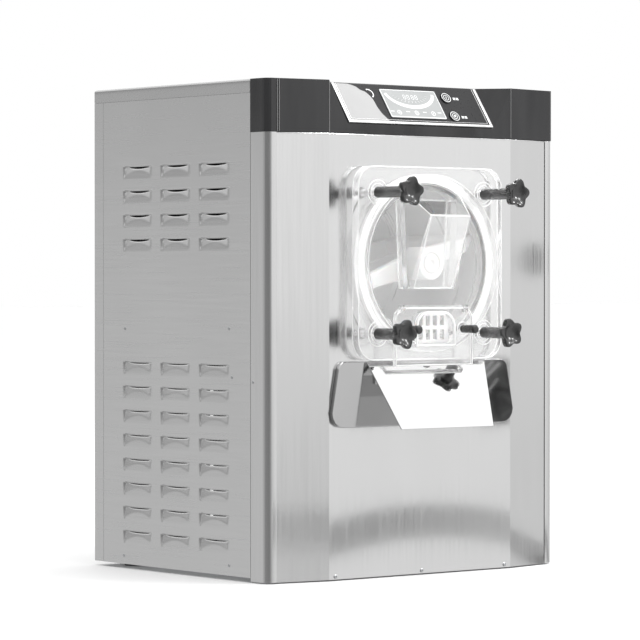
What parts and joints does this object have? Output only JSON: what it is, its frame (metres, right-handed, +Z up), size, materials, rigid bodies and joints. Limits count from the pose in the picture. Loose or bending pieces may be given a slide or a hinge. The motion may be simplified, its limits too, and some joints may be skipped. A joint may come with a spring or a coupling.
{
  "type": "countertop batch freezer",
  "caption": "Countertop frozen-dessert machine: louvred stainless cabinet, black control head, clear cylinder door with feed hopper, star knobs, hinged outlet gate and chute.",
  "frame": {"origin": "middle of the footprint of the bounding box, on the surface that the feet stand on", "axes": "+Z up, -Y out of the front with the door and controls, +X to the right as a person facing the front sees it"},
  "size_m": [0.57, 0.568, 0.74],
  "materials": {
    "stainless": "satin brushed stainless sheet",
    "mirror_steel": "polished stainless",
    "black_gloss": "glossy black moulding",
    "black_moulding": "satin black moulding",
    "clear_plastic": "clear polished acrylic",
    "white_plastic": "white food-grade plastic",
    "display": "display glass",
    "panel_film": "printed control film",
    "silver_trim": "bright silver trim",
    "rubber": "black rubber",
    "foam": "moulded foam",
    "copper": "copper",
    "cast_iron": "black painted casting",
    "motor_paint": "painted aluminium housing",
    "galvanised": "plain metal",
    "box_grey": "grey enclosure",
    "board": "circuit board"
  },
  "bodies": {
    "machine": {"front_panel": "stainless", "front_post_left": "stainless", "front_post_right": "stainless", "rear_post_left": "stainless", "rear_post_right": "stainless", "side_panel_left": "stainless", "side_panel_right": "stainless", "back_panel": "stainless", "top_cover": "stainless", "base_tray": "galvanised", "foot_front_left": "rubber", "foot_front_right": "rubber", "foot_rear_left": "rubber", "foot_rear_right": "rubber", "head_cover": "black_gloss", "control_face": "panel_film", "panel_bezel": "silver_trim", "lcd_display": "display", "control_board": "board", "freezing_cylinder": "stainless", "evaporator_jacket": "copper", "insulation": "foam", "stud_upper_left": "stainless", "stud_upper_right": "stainless", "stud_lower_left": "stainless", "stud_lower_right": "stainless", "splash_plate": "mirror_steel", "discharge_chute": "mirror_steel", "shaft_seal": "rubber", "bearing_housing": "cast_iron", "drive_belt": "rubber", "drive_motor": "motor_paint", "compressor": "cast_iron", "condenser": "galvanised", "fan_shroud": "box_grey", "fan_motor": "motor_paint", "filter_drier": "copper", "electrical_box": "box_grey", "cable_gland": "black_moulding"},
    "door": {"door_plate": "clear_plastic", "door_seal": "white_plastic", "outlet_grill": "white_plastic", "feed_hopper": "clear_plastic", "gate_hinge_pin": "stainless"},
    "gate": {"discharge_gate": "clear_plastic", "gate_grip_left": "black_moulding", "gate_grip_right": "black_moulding"},
    "knob_upper_left": {"star_knob_upper_left": "black_moulding"},
    "knob_upper_right": {"star_knob_upper_right": "black_moulding"},
    "knob_lower_left": {"star_knob_lower_left": "black_moulding"},
    "knob_lower_right": {"star_knob_lower_right": "black_moulding"},
    "agitator": {"beater": "white_plastic", "scraper_blade_a": "white_plastic", "scraper_blade_b": "white_plastic", "beater_shaft": "stainless", "driven_pulley": "cast_iron"},
    "motor_drive": {"motor_pulley": "cast_iron"},
    "fan": {"fan_blade": "galvanised"},
    "start_key": {"start_button": "silver_trim"},
    "stop_key": {"stop_button": "silver_trim"}
  },
  "joints": [
    {"name": "door_slide", "type": "slide", "parent": "machine", "child": "door", "axis": [0, -1, 0], "range_m": [0, 0.085]},
    {"name": "gate_swing", "type": "hinge", "parent": "door", "child": "gate", "pos_m": [0, -0.2083, 0.403], "axis": [-1, 0, 0], "range_deg": [0, 90]},
    {"name": "knob_upper_left_spin", "type": "hinge", "parent": "door", "child": "knob_upper_left", "pos_m": [-0.105, -0.232, 0.575], "axis": [0, -1, 0], "continuous": true},
    {"name": "knob_upper_right_spin", "type": "hinge", "parent": "door", "child": "knob_upper_right", "pos_m": [0.105, -0.232, 0.575], "axis": [0, -1, 0], "continuous": true},
    {"name": "knob_lower_left_spin", "type": "hinge", "parent": "door", "child": "knob_lower_left", "pos_m": [-0.105, -0.232, 0.365], "axis": [0, -1, 0], "continuous": true},
    {"name": "knob_lower_right_spin", "type": "hinge", "parent": "door", "child": "knob_lower_right", "pos_m": [0.105, -0.232, 0.365], "axis": [0, -1, 0], "continuous": true},
    {"name": "agitator_spin", "type": "hinge", "parent": "machine", "child": "agitator", "pos_m": [0, -0.082, 0.47], "axis": [0, -1, 0], "continuous": true},
    {"name": "motor_pulley_spin", "type": "hinge", "parent": "machine", "child": "motor_drive", "pos_m": [-0.13, 0.103, 0.16], "axis": [0, -1, 0], "continuous": true},
    {"name": "fan_spin", "type": "hinge", "parent": "machine", "child": "fan", "pos_m": [0.09, 0.191, 0.18], "axis": [0, 1, 0], "continuous": true},
    {"name": "start_press", "type": "slide", "parent": "machine", "child": "start_key", "axis": [0, 0.8137, -0.5812], "range_m": [0, 0.0012], "stiffness_N_per_m": 800, "springref_m": -0.0005},
    {"name": "stop_press", "type": "slide", "parent": "machine", "child": "stop_key", "axis": [0, 0.8137, -0.5812], "range_m": [0, 0.0012], "stiffness_N_per_m": 800, "springref_m": -0.0005}
  ],
  "couplings": [
    {"joint": "motor_pulley_spin", "follows": "agitator_spin", "ratio": 3.25}
  ]
}
